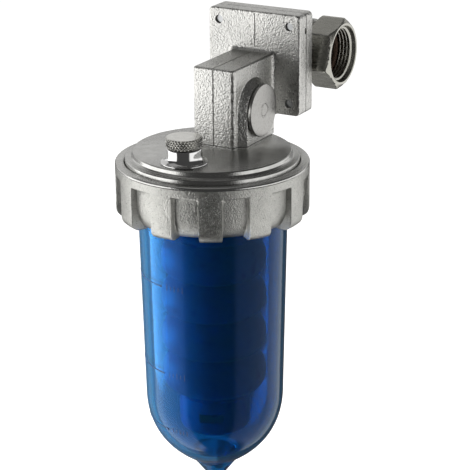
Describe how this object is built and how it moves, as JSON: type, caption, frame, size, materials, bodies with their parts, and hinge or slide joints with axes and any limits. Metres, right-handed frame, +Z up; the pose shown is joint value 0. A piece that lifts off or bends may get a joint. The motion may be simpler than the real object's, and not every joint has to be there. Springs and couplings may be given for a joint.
{
  "type": "in-line boiler water filter and doser",
  "caption": "In-line boiler water filter and doser: orientable screwed flange with union nut, metal head with vent, see-through bowl held by a lugged clamp ring, ribbed refill inside.",
  "frame": {"origin": "on the pipe axis, inside the union nut's thread, 2.65 mm in from the thread's outer end", "axes": "+X along the pipe, out of the union nut's open end; +Z up, parallel to the bowl's axis; the bowl hangs below and in front (-Y) of the pipe"},
  "size_m": [0.0916, 0.1368, 0.2254],
  "materials": {
    "cast_nickel": "nickel plated cast brass, fine sand-cast grain with turned satin faces",
    "turned_nickel": "nickel plated turned brass, brushed",
    "chrome": "bright chrome",
    "spindle_brass": "plain turned brass",
    "screw_steel": "zinc plated",
    "seal_rubber": "matt",
    "fibre": "pressed fibre, matt",
    "white_plastic": "moulded, semi matt",
    "blue_clear_plastic": "clear blue tinted, polished",
    "refill_plastic": "blown film plastic, satin",
    "refill_dark_plastic": "moulded, satin"
  },
  "bodies": {
    "head": {"head_casting": "cast_nickel", "connection_block": "cast_nickel", "flange_gasket": "seal_rubber", "flange_screws": "screw_steel", "flange_washers": "screw_steel", "union_tail": "turned_nickel", "tail_seal": "seal_rubber", "union_washer": "fibre", "side_plug": "turned_nickel", "side_plug_seal": "seal_rubber", "dosing_nozzle": "white_plastic", "nozzle_seals": "seal_rubber", "check_valve": "seal_rubber", "vent_body": "chrome", "vent_body_seal": "seal_rubber"},
    "union_nut": {"union_nut": "turned_nickel"},
    "vent_cap": {"vent_cap": "chrome", "vent_spindle": "spindle_brass", "vent_spindle_seal": "seal_rubber"},
    "bowl": {"bowl": "blue_clear_plastic", "bowl_seal": "seal_rubber", "slip_washer": "white_plastic"},
    "clamp_ring": {"clamp_ring": "cast_nickel"},
    "refill": {"refill_bellows": "refill_plastic", "refill_neck": "refill_dark_plastic", "refill_seal": "seal_rubber", "dip_tube": "refill_dark_plastic", "refill_foot": "refill_plastic"}
  },
  "joints": [
    {"name": "union_nut_spin", "type": "hinge", "parent": "head", "child": "union_nut", "pos_m": [0, 0, 0], "axis": [1, 0, 0], "continuous": true},
    {"name": "vent_cap_turn", "type": "hinge", "parent": "head", "child": "vent_cap", "pos_m": [-0.02715, -0.0997, -0.0257], "axis": [0, 0, 1], "range_deg": [0, 540]},
    {"name": "bowl_drop", "type": "slide", "parent": "head", "child": "bowl", "axis": [0, 0, -1], "range_m": [0, 0.19]},
    {"name": "clamp_ring_turn", "type": "hinge", "parent": "bowl", "child": "clamp_ring", "pos_m": [-0.02715, -0.074, -0.0507], "axis": [0, 0, 1], "continuous": true},
    {"name": "refill_pull", "type": "slide", "parent": "head", "child": "refill", "axis": [0, 0, -1], "range_m": [0, 0.0165]}
  ],
  "couplings": [
    {"joint": "refill_pull", "follows": "bowl_drop", "ratio": 0.085}
  ]
}
